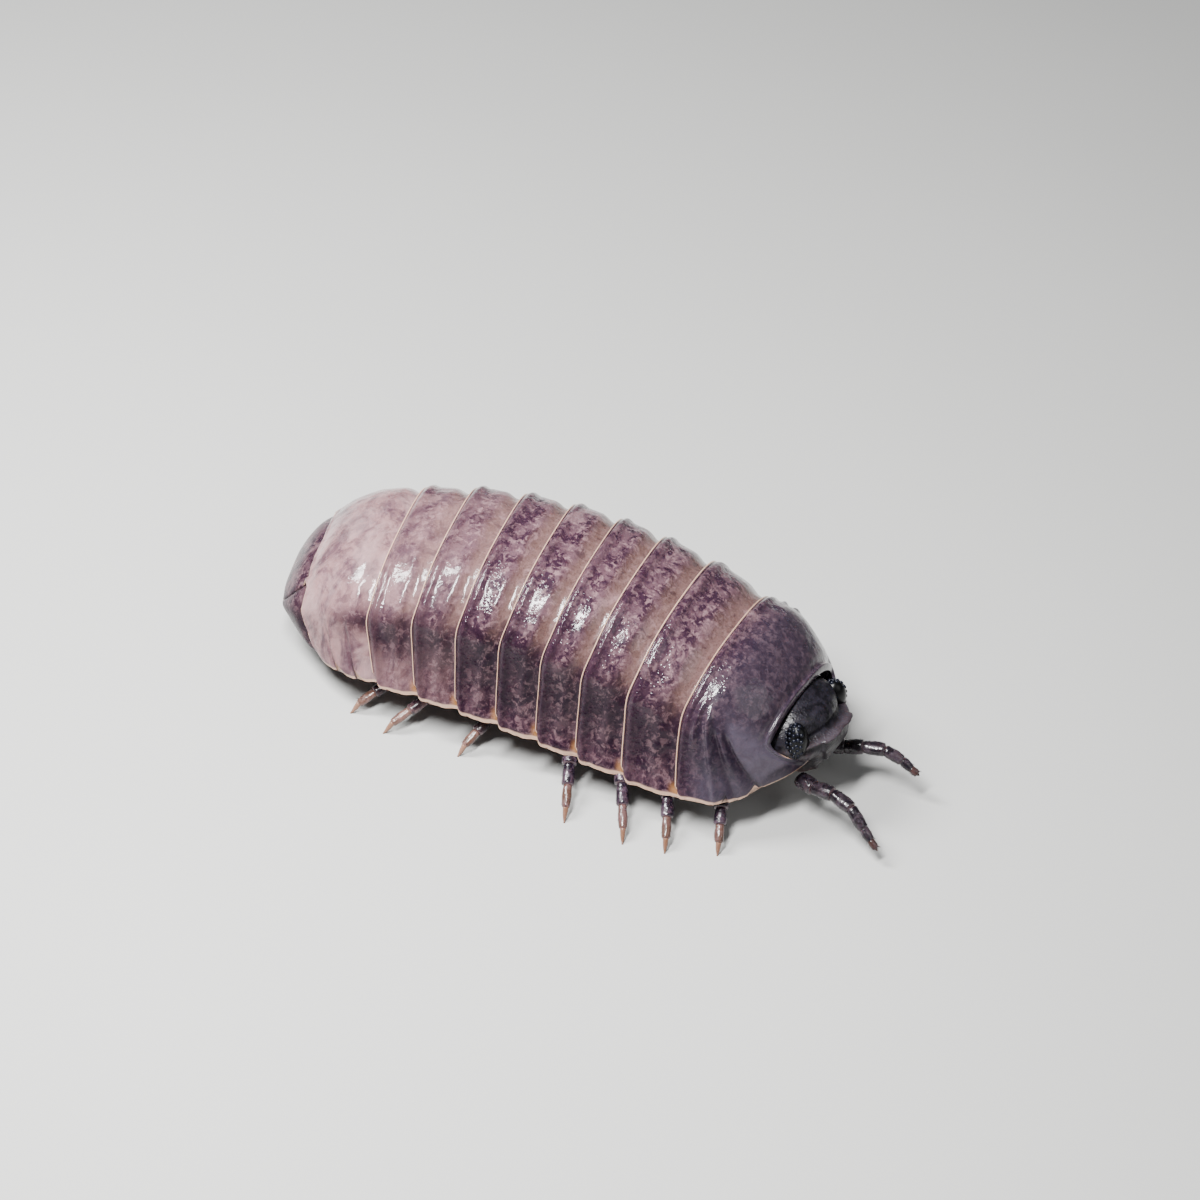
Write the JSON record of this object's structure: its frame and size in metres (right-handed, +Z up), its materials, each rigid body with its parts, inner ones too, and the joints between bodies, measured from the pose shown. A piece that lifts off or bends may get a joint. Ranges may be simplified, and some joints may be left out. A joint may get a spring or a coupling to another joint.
{
  "type": "pill woodlouse",
  "caption": "Still, life-size pill woodlouse walking on a flat floor, with an arched back of overlapping shell plates, rounded tail, small head, short legs and bent antennae.",
  "frame": {"origin": "on the floor under the middle of the animal's outline, antennae included", "axes": "+Z up from the floor; the head points to -Y and the tail to +Y; the animal's right side is -X"},
  "size_m": [0.0112, 0.0196, 0.0055],
  "materials": {
    "head_shell": "glossy shell, dark blue-grey",
    "eye": "glossy black beads",
    "antenna": "translucent grey-brown shell",
    "back_shell": "glossy translucent shell, mottled purple-grey with cream bands",
    "tail_shell": "glossy translucent shell, pale pink-grey",
    "uropod": "glossy shell, dark purple-grey",
    "belly": "soft satin membrane, pale grey-brown",
    "pleopod": "satin white flaps",
    "leg": "translucent grey-purple shell with amber edges"
  },
  "bodies": {
    "root": {"antenna_left": "antenna", "antenna_right": "antenna", "eye_left": "eye", "eye_right": "eye", "head": "head_shell", "leg_1_left": "leg", "leg_1_right": "leg", "leg_2_left": "leg", "leg_2_right": "leg", "leg_3_left": "leg", "leg_3_right": "leg", "leg_4_left": "leg", "leg_4_right": "leg", "leg_5_left": "leg", "leg_5_right": "leg", "leg_6_left": "leg", "leg_6_right": "leg", "leg_7_left": "leg", "leg_7_right": "leg", "plate_1": "back_shell", "plate_2": "back_shell", "plate_3": "back_shell", "plate_4": "back_shell", "plate_5": "back_shell", "plate_6": "back_shell", "plate_7": "back_shell", "plate_8": "back_shell", "pleonite_1": "tail_shell", "pleonite_2": "tail_shell", "pleonite_3": "tail_shell", "pleopods": "pleopod", "telson": "tail_shell", "underside": "belly", "uropod_left": "uropod", "uropod_right": "uropod"}
  },
  "joints": []
}
